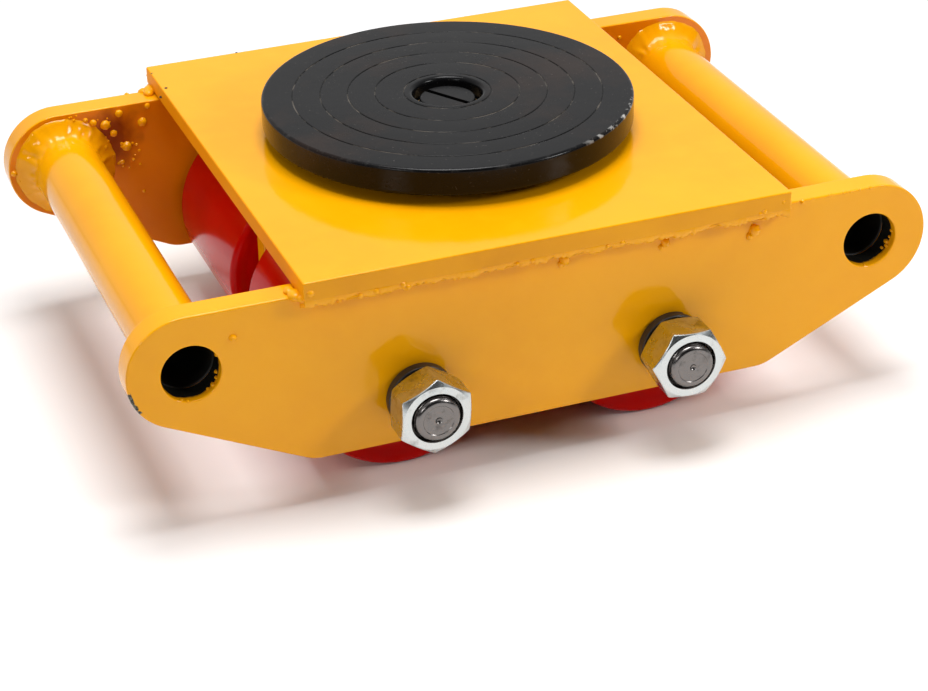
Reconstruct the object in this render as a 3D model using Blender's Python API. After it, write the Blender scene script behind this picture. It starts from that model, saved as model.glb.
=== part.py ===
"""Four-roller machinery dolly: a welded steel chassis on two axles, with a turntable cap on top.

Metres, +Z up. X is the rolling direction and Y is along the axles. The origin is on the floor, under
the middle of the dolly. Front is -Y and left is -X.
"""

import math

import bmesh
import bpy
from mathutils import Matrix

# Clearance kept between faces that touch or are welded.
GAP = 0.0003

# Rollers and axles.
ROLLER_RADIUS = 0.035
ROLLER_INNER_Y = 0.0095
ROLLER_OUTER_Y = 0.0765
ROLLER_RIM = 0.0018
AXLE_X = 0.0458
AXLE_Z = ROLLER_RADIUS
AXLE_RADIUS = 0.0085
THREAD_RADIUS = 0.0079
THREAD_START_Y = 0.0915
AXLE_END_Y = 0.1097
AXLE_END_ROUND = 0.0017

# Bearings, two in each roller.
BEARING_WIDTH = 0.012
BEARING_RECESS = 0.001
BEARING_RADIUS = 0.0199
SPACER_STEP = 0.0004
OUTER_RACE_BORE = 0.0165
INNER_RACE_RADIUS = 0.0118
INNER_RACE_BORE = 0.009
POCKET_RADIUS = 0.0203
ROLLER_BORE = 0.0145

# Chassis plates.
SIDE_OUTER_Y = 0.0897
SIDE_INNER_Y = 0.080
SIDE_TOP_Z = 0.0795
SIDE_BOTTOM_Z = 0.0175
SIDE_FLAT_X = 0.0828
SIDE_CORNER = 0.014
EAR_X = 0.1237
EAR_Z = 0.0593
EAR_RADIUS = 0.0202
EYE_X = 0.1224
EYE_Z = 0.0588
EYE_RADIUS = 0.010
AXLE_HOLE_RADIUS = 0.0090
TOP_PLATE_LEFT_X = -0.0855
TOP_PLATE_RIGHT_X = 0.0877
TOP_PLATE_Y = 0.0954
TOP_PLATE_Z = 0.0866
TOP_PLATE_EDGE = 0.0009
CENTRE_PLATE_X = 0.0716
CENTRE_PLATE_Y = 0.0045
CENTRE_PLATE_BOTTOM_Z = 0.020
CENTRE_NOTCH_X = 0.0138
CENTRE_NOTCH_Z = 0.0600
TUBE_RADIUS = 0.0125

# Axle nuts and spring washers.
NUT_FLATS = 0.024
NUT_FACE = 0.965
NUT_INNER_Y = 0.0955
NUT_OUTER_Y = 0.1081
NUT_BORE = 0.0083
NUT_SINK = 0.13
NUT_CHAMFER = 30.0
NUT_TURN = {"left_front": 27.0, "right_front": 57.0, "left_rear": 10.0, "right_rear": 41.0}
WASHER_RADIUS = 0.0118
WASHER_SPLIT = 0.0016
WASHER_SPLIT_TURN = 8.0
WASHER_PLAY = 0.0006

# Turntable.
CAP_RADIUS = 0.066
CAP_BOTTOM_Z = 0.0906
CAP_TOP_Z = 0.1004
CAP_EDGE = 0.0011
HEAD_POCKET_RADIUS = 0.0127
HEAD_POCKET_Z = 0.0940
CAP_BORE = 0.0086
BUSH_FLANGE_PLAY = 0.0012
BOSS_RADIUS = 0.0145
BOSS_BOTTOM_Z = 0.0880
RACE_RECESS_RADIUS = 0.0310
RACE_RECESS_Z = 0.0956
RACE_INNER_RADIUS = 0.0152
RACE_OUTER_RADIUS = 0.0303
RACE_THICKNESS = 0.0022
BALL_RADIUS = 0.0017
BALL_COUNT = 8
BALL_CIRCLE = 0.0228
CAGE_MARGIN = 0.0025
CAGE_THICKNESS = 0.001
KING_HEAD_RADIUS = 0.0100
KING_HEAD_TOP_Z = 0.0981
KING_HEAD_THICKNESS = 0.0030
KING_HEAD_EDGE = 0.0005
KING_TIP = 0.001
KING_RADIUS = 0.006
KING_END_Z = 0.0632
KING_HOLE = 0.0064
KING_NUT_FLATS = 0.019
KING_NUT_HEIGHT = 0.010
KING_WASHER_RADIUS = 0.012
KING_WASHER_THICKNESS = 0.0024
SLOT_WIDTH = 0.0024
SLOT_DEPTH = 0.0016
SLOT_TURN = -59.0

SIDES = {"left": -1.0, "right": 1.0}
ENDS = {"front": -1.0, "rear": 1.0}
ALONG_Y = Matrix.Rotation(math.radians(-90.0), 4, "X")


def clear_scene():
    for obj in list(bpy.data.objects):
        bpy.data.objects.remove(obj, do_unlink=True)


def make_material(name, colour, roughness, metallic):
    material = bpy.data.materials.new(name)
    material.use_nodes = True
    shader = material.node_tree.nodes["Principled BSDF"]
    shader.inputs["Base Color"].default_value = (*colour, 1.0)
    shader.inputs["Roughness"].default_value = roughness
    shader.inputs["Metallic"].default_value = metallic
    material.diffuse_color = (*colour, 1.0)
    return material


def add_object(name, mesh_builder, material, matrix=None, smooth_angle=35.0):
    """One named object from a bmesh, placed by its matrix and shaded smooth but for its sharp edges."""
    mesh = bpy.data.meshes.new(name)
    bmesh.ops.recalc_face_normals(mesh_builder, faces=mesh_builder.faces)
    mesh_builder.to_mesh(mesh)
    mesh_builder.free()
    mesh.shade_smooth()
    mesh.set_sharp_from_angle(angle=math.radians(smooth_angle))
    if material is not None:
        mesh.materials.append(material)
    obj = bpy.data.objects.new(name, mesh)
    bpy.context.scene.collection.objects.link(obj)
    if matrix is not None:
        obj.matrix_world = matrix
    return obj


def turned(profile, segments):
    """A bmesh turned about Z from (radius, height) points: a closed loop, or a line with both ends on the axis."""
    builder = bmesh.new()
    solid = profile[0][0] == 0.0
    rings = []
    for radius, height in profile:
        if radius == 0.0:
            rings.append([builder.verts.new((0.0, 0.0, height))] * segments)
            continue
        ring = []
        for step in range(segments):
            angle = 2.0 * math.pi * step / segments
            ring.append(builder.verts.new((radius * math.cos(angle), radius * math.sin(angle), height)))
        rings.append(ring)
    pairs = list(zip(rings, rings[1:]))
    if not solid:
        pairs.append((rings[-1], rings[0]))
    for lower, upper in pairs:
        for step in range(segments):
            following = (step + 1) % segments
            corners = [lower[step], lower[following], upper[following], upper[step]]
            builder.faces.new(list(dict.fromkeys(corners)))
    return builder


def ring(inner, outer, low, high, segments):
    return turned([(inner, low), (outer, low), (outer, high), (inner, high)], segments)


def prism(outline, low, high):
    """A bmesh of a flat outline in X and Y, raised from low to high along Z."""
    builder = bmesh.new()
    base = [builder.verts.new((x, y, low)) for x, y in outline]
    face = builder.faces.new(base)
    raised = bmesh.ops.extrude_face_region(builder, geom=[face])
    verts = [item for item in raised["geom"] if isinstance(item, bmesh.types.BMVert)]
    bmesh.ops.translate(builder, verts=verts, vec=(0.0, 0.0, high - low))
    return builder


def box(low, high):
    outline = [(low[0], low[1]), (high[0], low[1]), (high[0], high[1]), (low[0], high[1])]
    return prism(outline, low[2], high[2])


def arc(centre, radius, start, end, steps):
    """Points along an arc, from one angle in degrees to the other."""
    points = []
    for step in range(steps + 1):
        angle = math.radians(start + (end - start) * step / steps)
        points.append((centre[0] + radius * math.cos(angle), centre[1] + radius * math.sin(angle)))
    return points


def combine(obj, name, builder, operation="DIFFERENCE", matrix=None):
    """Cuts obj by a hidden helper shape, or keeps what they share, or joins them."""
    helper = add_object(name, builder, None, matrix)
    helper.hide_render = True
    helper.display_type = "WIRE"
    modifier = obj.modifiers.new(name, "BOOLEAN")
    modifier.operation = operation
    modifier.solver = "EXACT"
    modifier.object = helper


def place(x, y, z, turn=Matrix.Identity(4)):
    return Matrix.Translation((x, y, z)) @ turn


def side_outline():
    """Side plate outline in X and Z: a straight top, two round ears and slopes down to the flat bottom."""
    corner = (SIDE_FLAT_X - EAR_X, SIDE_BOTTOM_Z - EAR_Z)
    distance = math.hypot(*corner)
    tangent = math.atan2(corner[1], corner[0]) + math.acos(EAR_RADIUS / distance)
    right = arc((EAR_X, EAR_Z), EAR_RADIUS, 90.0, math.degrees(tangent), 14)
    slope = math.pi / 2.0 + tangent
    setback = SIDE_CORNER * math.tan(slope / 2.0)
    corner_centre = (SIDE_FLAT_X - setback, SIDE_BOTTOM_Z + SIDE_CORNER)
    right += arc(corner_centre, SIDE_CORNER, math.degrees(slope) - 90.0, -90.0, 3)
    return right + [(-x, z) for x, z in reversed(right)]


def make_side_plates(paint):
    upright = Matrix.Rotation(math.radians(90.0), 4, "X")
    for end, sign in ENDS.items():
        low = min(-sign * SIDE_INNER_Y, -sign * SIDE_OUTER_Y)
        high = max(-sign * SIDE_INNER_Y, -sign * SIDE_OUTER_Y)
        plate = add_object(f"side_plate_{end}", prism(side_outline(), low, high), paint, upright)
        for side, along in SIDES.items():
            holes = {"eye": (EYE_X, EYE_Z, EYE_RADIUS, 28), "axle": (AXLE_X, AXLE_Z, AXLE_HOLE_RADIUS, 16)}
            for kind, (x, z, radius, segments) in holes.items():
                drill = turned([(0.0, low - 0.01), (radius, low - 0.01), (radius, high + 0.01), (0.0, high + 0.01)],
                               segments)
                combine(plate, f"cut_{kind}_{side}_{end}", drill, matrix=upright @ place(along * x, z, 0.0))


def make_top_plate(paint):
    low = (TOP_PLATE_LEFT_X, -TOP_PLATE_Y, SIDE_TOP_Z + GAP)
    plate = add_object("top_plate", box(low, (TOP_PLATE_RIGHT_X, TOP_PLATE_Y, TOP_PLATE_Z)), paint)
    edges = plate.modifiers.new("soft_edges", "BEVEL")
    edges.width = TOP_PLATE_EDGE
    edges.segments = 2
    edges.limit_method = "ANGLE"
    drill = turned([(0.0, 0.07), (KING_HOLE, 0.07), (KING_HOLE, 0.1), (0.0, 0.1)], 24)
    combine(plate, "cut_king_hole", drill)


def make_centre_plate(paint):
    low = (-CENTRE_PLATE_X, -CENTRE_PLATE_Y, CENTRE_PLATE_BOTTOM_Z)
    plate = add_object("centre_plate", box(low, (CENTRE_PLATE_X, CENTRE_PLATE_Y, SIDE_TOP_Z)), paint)
    notch = box((-CENTRE_NOTCH_X, -0.01, CENTRE_NOTCH_Z), (CENTRE_NOTCH_X, 0.01, 0.09))
    combine(plate, "cut_king_notch", notch)
    for side, along in SIDES.items():
        drill = turned([(0.0, -0.01), (AXLE_HOLE_RADIUS, -0.01), (AXLE_HOLE_RADIUS, 0.01), (0.0, 0.01)], 16)
        combine(plate, f"cut_centre_axle_{side}", drill, matrix=place(along * AXLE_X, 0.0, AXLE_Z, ALONG_Y))


def make_cross_tubes(paint):
    reach = SIDE_INNER_Y - GAP
    for side, along in SIDES.items():
        tube = ring(EYE_RADIUS, TUBE_RADIUS, -reach, reach, 28)
        add_object(f"cross_tube_{side}", tube, paint, place(along * EYE_X, 0.0, EYE_Z, ALONG_Y))


def make_axles(steel):
    end = [(AXLE_RADIUS, THREAD_START_Y), (THREAD_RADIUS, THREAD_START_Y + GAP)]
    end += arc((THREAD_RADIUS - AXLE_END_ROUND, AXLE_END_Y - AXLE_END_ROUND), AXLE_END_ROUND, 0.0, 90.0, 3)
    end.append((0.0, AXLE_END_Y))
    profile = [(radius, -y) for radius, y in reversed(end)] + end
    for side, along in SIDES.items():
        matrix = place(along * AXLE_X, 0.0, AXLE_Z, ALONG_Y)
        add_object(f"axle_{side}", turned(profile, 20), steel, matrix)


def hex_nut(name, flats, low, high, bore, material, matrix):
    """A hexagon nut along Z, its corners chamfered at both faces and its bore countersunk."""
    across = flats / math.sqrt(3.0)
    outline = arc((0.0, 0.0), across, 0.0, 300.0, 5)
    nut = add_object(name, prism(outline, low, high), material, matrix, 20.0)
    face = NUT_FACE * flats / 2.0
    chamfer = (across - face) * math.tan(math.radians(NUT_CHAMFER))
    sink = bore * NUT_SINK
    shape = [(bore, low + sink), (bore + sink, low), (face, low), (across, low + chamfer),
             (across, high - chamfer), (face, high), (bore + sink, high), (bore, high - sink)]
    combine(nut, f"cut_{name}", turned(shape, 18), "INTERSECT", matrix)


def make_axle_nuts(zinc, black):
    for side, along in SIDES.items():
        for end, sign in ENDS.items():
            turn = Matrix.Rotation(math.radians(90.0 if sign < 0 else -90.0), 4, "X")
            spin = Matrix.Rotation(math.radians(NUT_TURN[f"{side}_{end}"]), 4, "Z")
            matrix = place(along * AXLE_X, 0.0, AXLE_Z, turn)
            hex_nut(f"axle_nut_{side}_{end}", NUT_FLATS, NUT_INNER_Y, NUT_OUTER_Y, NUT_BORE, zinc, matrix @ spin)
            low = SIDE_OUTER_Y + GAP
            high = NUT_INNER_Y - GAP
            washer = add_object(f"spring_washer_{side}_{end}",
                                ring(NUT_BORE + WASHER_PLAY, WASHER_RADIUS, low, high, 20), black, matrix @ spin)
            split = box((0.0, -WASHER_SPLIT / 2.0, low - 0.001), (0.02, WASHER_SPLIT / 2.0, high + 0.001))
            slant = Matrix.Rotation(math.radians(WASHER_SPLIT_TURN), 4, "Z")
            combine(washer, f"cut_split_{side}_{end}", split, matrix=matrix @ slant)


def make_rollers(red):
    middle = (ROLLER_INNER_Y + ROLLER_OUTER_Y) / 2.0
    half = (ROLLER_OUTER_Y - ROLLER_INNER_Y) / 2.0
    shoulder = half - BEARING_RECESS - BEARING_WIDTH - GAP
    outer_half = [(ROLLER_BORE, shoulder), (POCKET_RADIUS, shoulder), (POCKET_RADIUS, half)]
    outer_half += arc((ROLLER_RADIUS - ROLLER_RIM, half - ROLLER_RIM), ROLLER_RIM, 90.0, 0.0, 1)
    profile = outer_half + [(radius, -y) for radius, y in reversed(outer_half)]
    for side, along in SIDES.items():
        for end, sign in ENDS.items():
            matrix = place(along * AXLE_X, sign * middle, AXLE_Z, ALONG_Y)
            add_object(f"roller_{side}_{end}", turned(profile, 36), red, matrix)


def make_bearings(steel):
    """Inner and outer races, the sleeve between each roller's two bearings, and the spacers beside them."""
    inboard = ROLLER_INNER_Y + BEARING_RECESS
    outboard = ROLLER_OUTER_Y - BEARING_RECESS - BEARING_WIDTH
    spans = {
        "bearing_sleeve": (inboard + BEARING_WIDTH + GAP, outboard - GAP),
        "spacer_inboard": (CENTRE_PLATE_Y + GAP, inboard - GAP),
        "spacer_outboard": (outboard + BEARING_WIDTH + GAP, SIDE_INNER_Y - GAP),
    }
    for side, along in SIDES.items():
        for end, sign in ENDS.items():
            turn = Matrix.Rotation(math.radians(90.0 if sign < 0 else -90.0), 4, "X")
            matrix = place(along * AXLE_X, 0.0, AXLE_Z, turn)
            for where, low in (("inboard", inboard), ("outboard", outboard)):
                high = low + BEARING_WIDTH
                add_object(f"outer_race_{side}_{end}_{where}",
                           ring(OUTER_RACE_BORE, BEARING_RADIUS, low, high, 16), steel, matrix)
                add_object(f"inner_race_{side}_{end}_{where}",
                           ring(INNER_RACE_BORE, INNER_RACE_RADIUS, low, high, 16), steel, matrix)
            for kind, (low, high) in spans.items():
                add_object(f"{kind}_{side}_{end}",
                           ring(INNER_RACE_BORE, INNER_RACE_RADIUS - SPACER_STEP, low, high, 16), steel, matrix)


def make_cap(black):
    lower = arc((CAP_RADIUS - CAP_EDGE, CAP_BOTTOM_Z + CAP_EDGE), CAP_EDGE, -90.0, 0.0, 1)
    upper = arc((CAP_RADIUS - CAP_EDGE, CAP_TOP_Z - CAP_EDGE), CAP_EDGE, 0.0, 90.0, 1)
    profile = [(CAP_BORE, BOSS_BOTTOM_Z), (BOSS_RADIUS, BOSS_BOTTOM_Z), (BOSS_RADIUS, RACE_RECESS_Z),
               (RACE_RECESS_RADIUS, RACE_RECESS_Z), (RACE_RECESS_RADIUS, CAP_BOTTOM_Z)]
    profile += lower + upper
    profile += [(HEAD_POCKET_RADIUS, CAP_TOP_Z), (HEAD_POCKET_RADIUS, HEAD_POCKET_Z), (CAP_BORE, HEAD_POCKET_Z)]
    add_object("turntable_cap", turned(profile, 60), black)


def make_thrust_bearing(steel, brass):
    lower_top = TOP_PLATE_Z + GAP + RACE_THICKNESS
    upper_bottom = RACE_RECESS_Z - GAP - RACE_THICKNESS
    add_object("thrust_race_lower", ring(RACE_INNER_RADIUS, RACE_OUTER_RADIUS, TOP_PLATE_Z + GAP, lower_top, 32), steel)
    add_object("thrust_race_upper",
               ring(RACE_INNER_RADIUS, RACE_OUTER_RADIUS, upper_bottom, RACE_RECESS_Z - GAP, 32), steel)
    middle = (lower_top + upper_bottom) / 2.0
    half = CAGE_THICKNESS / 2.0
    web = ring(RACE_INNER_RADIUS + CAGE_MARGIN, RACE_OUTER_RADIUS - CAGE_MARGIN, middle - half, middle + half, 24)
    cage = add_object("thrust_ball_cage", web, brass)
    for ball in range(BALL_COUNT):
        angle = 2.0 * math.pi * (ball + 0.5) / BALL_COUNT
        sphere = bmesh.new()
        bmesh.ops.create_icosphere(sphere, subdivisions=1, radius=BALL_RADIUS)
        spot = place(BALL_CIRCLE * math.cos(angle), BALL_CIRCLE * math.sin(angle), middle)
        combine(cage, f"join_ball_{ball}", sphere, "UNION", spot)


def make_king_bolt(steel, brass):
    head_bottom = KING_HEAD_TOP_Z - KING_HEAD_THICKNESS
    profile = [(0.0, KING_END_Z), (KING_RADIUS - KING_TIP, KING_END_Z), (KING_RADIUS, KING_END_Z + KING_TIP),
               (KING_RADIUS, head_bottom), (KING_HEAD_RADIUS, head_bottom),
               (KING_HEAD_RADIUS, KING_HEAD_TOP_Z - KING_HEAD_EDGE),
               (KING_HEAD_RADIUS - KING_HEAD_EDGE, KING_HEAD_TOP_Z), (0.0, KING_HEAD_TOP_Z)]
    bolt = add_object("king_bolt", turned(profile, 28), steel)
    slot = box((-0.02, -SLOT_WIDTH / 2.0, KING_HEAD_TOP_Z - SLOT_DEPTH), (0.02, SLOT_WIDTH / 2.0, 0.11))
    combine(bolt, "cut_slot", slot, matrix=Matrix.Rotation(math.radians(SLOT_TURN), 4, "Z"))
    reach = HEAD_POCKET_RADIUS - BUSH_FLANGE_PLAY
    flange = [(KING_HOLE, BOSS_BOTTOM_Z), (CAP_BORE - GAP, BOSS_BOTTOM_Z), (CAP_BORE - GAP, HEAD_POCKET_Z + GAP),
              (reach, HEAD_POCKET_Z + GAP), (reach, head_bottom - GAP), (KING_HOLE, head_bottom - GAP)]
    add_object("cap_bush", turned(flange, 28), brass)
    washer_top = SIDE_TOP_Z
    washer_bottom = washer_top - KING_WASHER_THICKNESS
    add_object("king_washer", ring(KING_HOLE, KING_WASHER_RADIUS, washer_bottom, washer_top, 28), steel)
    nut_top = washer_bottom - GAP
    hex_nut("king_nut", KING_NUT_FLATS, nut_top - KING_NUT_HEIGHT, nut_top, KING_HOLE, steel, Matrix.Identity(4))


def main():
    clear_scene()
    paint = make_material("yellow_paint", (0.83, 0.40, 0.03), 0.32, 0.0)
    red = make_material("red_nylon", (0.55, 0.02, 0.02), 0.3, 0.0)
    black = make_material("black_enamel", (0.02, 0.02, 0.022), 0.35, 0.0)
    oxide = make_material("black_oxide_steel", (0.03, 0.03, 0.03), 0.45, 0.8)
    zinc = make_material("zinc_plate", (0.68, 0.70, 0.72), 0.25, 1.0)
    steel = make_material("bright_steel", (0.55, 0.55, 0.56), 0.3, 1.0)
    bronze = make_material("bronze", (0.60, 0.42, 0.20), 0.35, 1.0)
    make_side_plates(paint)
    make_top_plate(paint)
    make_centre_plate(paint)
    make_cross_tubes(paint)
    make_axles(steel)
    make_axle_nuts(zinc, oxide)
    make_rollers(red)
    make_bearings(steel)
    make_cap(black)
    make_thrust_bearing(steel, bronze)
    make_king_bolt(steel, bronze)


main()
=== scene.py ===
"""The looks of the four-roller machinery dolly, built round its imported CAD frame.

Metres, +Z up, in the frame of the CAD part: X is the rolling direction, Y runs along the axles, front
is -Y and left is -X. Every visible piece stands in the place of one CAD node, or is weld metal on it.
"""

import math
import random

import bmesh
import bpy
from mathutils import Matrix, Vector, noise


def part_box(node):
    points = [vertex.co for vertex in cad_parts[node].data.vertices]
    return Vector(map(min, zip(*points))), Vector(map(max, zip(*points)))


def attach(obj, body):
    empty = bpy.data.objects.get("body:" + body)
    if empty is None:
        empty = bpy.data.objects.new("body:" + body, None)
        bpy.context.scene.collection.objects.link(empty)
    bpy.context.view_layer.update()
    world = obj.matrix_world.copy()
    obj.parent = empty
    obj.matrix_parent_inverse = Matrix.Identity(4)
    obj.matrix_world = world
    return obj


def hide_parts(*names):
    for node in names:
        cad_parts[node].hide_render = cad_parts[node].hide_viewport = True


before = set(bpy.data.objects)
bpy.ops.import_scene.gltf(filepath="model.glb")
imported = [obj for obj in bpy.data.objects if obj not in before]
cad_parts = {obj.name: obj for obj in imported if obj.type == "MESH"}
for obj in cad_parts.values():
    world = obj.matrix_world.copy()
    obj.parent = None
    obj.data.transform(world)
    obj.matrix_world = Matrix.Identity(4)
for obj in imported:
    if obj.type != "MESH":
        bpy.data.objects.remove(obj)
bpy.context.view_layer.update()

# The gap that the CAD keeps between faces that touch.
GAP = 0.0003

# Chassis plates, from the frame's boxes where they give the size.
SIDE_LOW, SIDE_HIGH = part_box("side_plate_front")
SIDE_THICKNESS = SIDE_HIGH.y - SIDE_LOW.y
SIDE_OUTER_Y = -SIDE_LOW.y
SIDE_INNER_Y = -SIDE_HIGH.y
SIDE_TOP_Z = SIDE_HIGH.z
SIDE_BOTTOM_Z = SIDE_LOW.z
SIDE_FLAT_X = 0.0828
SIDE_CORNER = 0.014
SIDE_EDGE = 0.0006
EAR_RADIUS = 0.0202
EAR_X = SIDE_HIGH.x - EAR_RADIUS
EAR_Z = SIDE_TOP_Z - EAR_RADIUS
EYE_X = 0.1224
EYE_Z = 0.0588
EYE_RADIUS = 0.010
TUBE_RADIUS = 0.0125
TUBE_EDGE = 0.0004
TOP_LOW, TOP_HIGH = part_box("top_plate")
TOP_END_EDGE = 0.00045
TOP_UPPER_EDGE = 0.0006
TOP_LOWER_EDGE = 0.0009
CENTRE_LOW, CENTRE_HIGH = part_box("centre_plate")
CENTRE_NOTCH_X = 0.0138
CENTRE_NOTCH_Z = 0.0600
CENTRE_EDGE = 0.0005

# Axles, nuts and rollers.
AXLE_LOW, AXLE_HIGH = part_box("axle_right")
AXLE_X = (AXLE_LOW.x + AXLE_HIGH.x) / 2.0
AXLE_Z = (AXLE_LOW.z + AXLE_HIGH.z) / 2.0
AXLE_RADIUS = (AXLE_HIGH.z - AXLE_LOW.z) / 2.0
AXLE_END_Y = AXLE_HIGH.y
AXLE_HOLE_RADIUS = 0.0090
THREAD_RADIUS = 0.0079
THREAD_PITCH = 0.002
THREAD_DEPTH = 0.0007
THREAD_START_Y = 0.0920
SHANK_END_Y = 0.0900
AXLE_END_ROUND = 0.0017
NUT_FLATS = 0.024
NUT_LOW, NUT_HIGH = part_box("axle_nut_right_rear")
NUT_BORE = 0.0081
NUT_SINK = 0.0010
NUT_FACE = 0.965
NUT_EDGE = 0.00022
NUT_CORNER_WEAR = 0.00012
NUT_CHAMFER = math.tan(math.radians(30.0))
KING_NUT_BORE = 0.0063
NUT_TURN = {"left_front": 27.0, "right_front": 57.0, "left_rear": 10.0, "right_rear": 41.0}
WASHER_RADIUS = 0.0118
WASHER_PLAY = 0.0005
WASHER_CORNER = 0.0005
WASHER_COIL_GAP = 0.00016
WASHER_START = 10.0
WASHER_SWEEP = 710.0
ROLLER_LOW, ROLLER_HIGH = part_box("roller_right_rear")
ROLLER_RADIUS = (ROLLER_HIGH.x - ROLLER_LOW.x) / 2.0
ROLLER_RIM = 0.0022
ROLLER_POCKET = 0.0203
ROLLER_BORE = 0.0145
ROLLER_POCKET_DEPTH = 0.0133
ROLLER_MOUTH = 0.0006
ROLLER_FACE_GROOVE = (0.78, 0.80, 0.86, 0.88)
ROLLER_GROOVE_DEPTH = 0.0004

# Turntable.
CAP_LOW, CAP_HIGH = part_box("turntable_cap")
CAP_RADIUS = CAP_HIGH.x
CAP_TOP_Z = CAP_HIGH.z
CAP_BOTTOM_Z = 0.0906
CAP_EDGE = 0.0012
CAP_GROOVES = (0.0155, 0.0257, 0.0354, 0.0451, 0.0550)
GROOVE_WIDTH = 0.00045
GROOVE_DEPTH = 0.0003
GROOVE_LIP = 0.0002
GROOVE_LIP_DEPTH = 0.0001
HEAD_LIP = 0.0016
HEAD_POCKET_RADIUS = 0.0122
HEAD_POCKET_Z = 0.0940
CAP_BORE = 0.0086
BOSS_RADIUS = 0.0145
RACE_RECESS_RADIUS = 0.0310
RACE_RECESS_Z = 0.0956
KING_LOW, KING_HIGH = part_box("king_bolt")
KING_HEAD_RADIUS = KING_HIGH.x
KING_RADIUS = 0.006
KING_HEAD_BOTTOM_Z = KING_HIGH.z - 0.0030
KING_HEAD_EDGE = 0.0007
KING_TIP = 0.001
SLOT_WIDTH = 0.0020
SLOT_DEPTH = 0.0018
SLOT_TURN = -59.0
SLOT_SOFTENING = 0.00018

BLOB_SWELL = 0.14
BLOB_WAVES = 1.7
MERGE_DISTANCE = 1e-6

SIDES = {"left": -1.0, "right": 1.0}
ENDS = {"front": -1.0, "rear": 1.0}
UPRIGHT = Matrix.Rotation(math.radians(90.0), 4, "X")
ALONG_Y = Matrix.Rotation(math.radians(-90.0), 4, "X")


# ---------------------------------------------------------------- geometry helpers


def place(x, y, z, turn=Matrix.Identity(4)):
    return Matrix.Translation((x, y, z)) @ turn


def arc(centre, radius, start, end, steps):
    """Points along an arc, from one angle in degrees to the other."""
    points = []
    for step in range(steps + 1):
        angle = math.radians(start + (end - start) * step / steps)
        points.append((centre[0] + radius * math.cos(angle), centre[1] + radius * math.sin(angle)))
    return points


def circle(centre, radius, steps):
    return arc(centre, radius, 0.0, 360.0 - 360.0 / steps, steps - 1)


def add_piece(name, mesh, matrix, material, body, nodes=(), smooth_angle=32.0, weighted=True):
    """Puts a finished mesh in the scene as a piece that rides on a body and stands for CAD nodes."""
    mesh.transform(matrix)
    mesh.shade_smooth()
    mesh.set_sharp_from_angle(angle=math.radians(smooth_angle))
    if not mesh.materials:
        mesh.materials.append(material)
    obj = bpy.data.objects.new(name, mesh)
    bpy.context.scene.collection.objects.link(obj)
    if weighted:
        normals = obj.modifiers.new("weighted_normals", "WEIGHTED_NORMAL")
        normals.keep_sharp = True
    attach(obj, body)
    if nodes:
        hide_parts(*nodes)
    return obj


def mesh_from(name, builder):
    bmesh.ops.recalc_face_normals(builder, faces=builder.faces)
    mesh = bpy.data.meshes.new(name)
    builder.to_mesh(mesh)
    builder.free()
    return mesh


def turned(name, profile, segments, radius_at=None):
    """A mesh turned about Z from (radius, height) points. radius_at(point, angle) may change a point."""
    builder = bmesh.new()
    rings = []
    for point in profile:
        if point[0] == 0.0:
            rings.append([builder.verts.new((0.0, 0.0, point[1]))] * segments)
            continue
        ring = []
        for step in range(segments):
            angle = 2.0 * math.pi * step / segments
            radius, height = radius_at(point, angle) if radius_at else point
            ring.append(builder.verts.new((radius * math.cos(angle), radius * math.sin(angle), height)))
        rings.append(ring)
    pairs = list(zip(rings, rings[1:]))
    if profile[0][0] != 0.0:
        pairs.append((rings[-1], rings[0]))
    for lower, upper in pairs:
        for step in range(segments):
            following = (step + 1) % segments
            corners = [lower[step], lower[following], upper[following], upper[step]]
            builder.faces.new(list(dict.fromkeys(corners)))
    return mesh_from(name, builder)


def plate_mesh(name, loops, thickness, edge):
    """A flat plate in X and Y with rounded edges; the first loop is its outline, the others are holes."""
    curve = bpy.data.curves.new(name, "CURVE")
    curve.dimensions = "2D"
    curve.fill_mode = "BOTH"
    curve.extrude = thickness / 2.0 - edge
    curve.bevel_depth = edge
    curve.bevel_resolution = 3
    curve.offset = -edge
    for loop in loops:
        spline = curve.splines.new("POLY")
        spline.points.add(len(loop) - 1)
        for point, (x, y) in zip(spline.points, loop):
            point.co = (x, y, 0.0, 1.0)
        spline.use_cyclic_u = True
    guide = bpy.data.objects.new(name, curve)
    bpy.context.scene.collection.objects.link(guide)
    graph = bpy.context.evaluated_depsgraph_get()
    mesh = bpy.data.meshes.new_from_object(guide.evaluated_get(graph))
    bpy.data.objects.remove(guide)
    bpy.data.curves.remove(curve)
    builder = bmesh.new()
    builder.from_mesh(mesh)
    bmesh.ops.remove_doubles(builder, verts=builder.verts, dist=MERGE_DISTANCE)
    bmesh.ops.recalc_face_normals(builder, faces=builder.faces)
    builder.to_mesh(mesh)
    builder.free()
    return mesh


def swept(name, sections):
    """A closed mesh through a list of closed sections, each the same number of points."""
    builder = bmesh.new()
    rings = [[builder.verts.new(point) for point in section] for section in sections]
    count = len(sections[0])
    for first, second in zip(rings, rings[1:]):
        for step in range(count):
            following = (step + 1) % count
            builder.faces.new((first[step], first[following], second[following], second[step]))
    builder.faces.new(rings[0])
    builder.faces.new(rings[-1])
    return mesh_from(name, builder)


def wobble(point, scale, seed):
    """Smooth noise from -1 to 1 at a point; scale is its waves per metre."""
    return noise.noise(Vector(point) * scale + Vector((seed * 7.31, seed * 3.77, seed * 5.13)))


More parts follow.
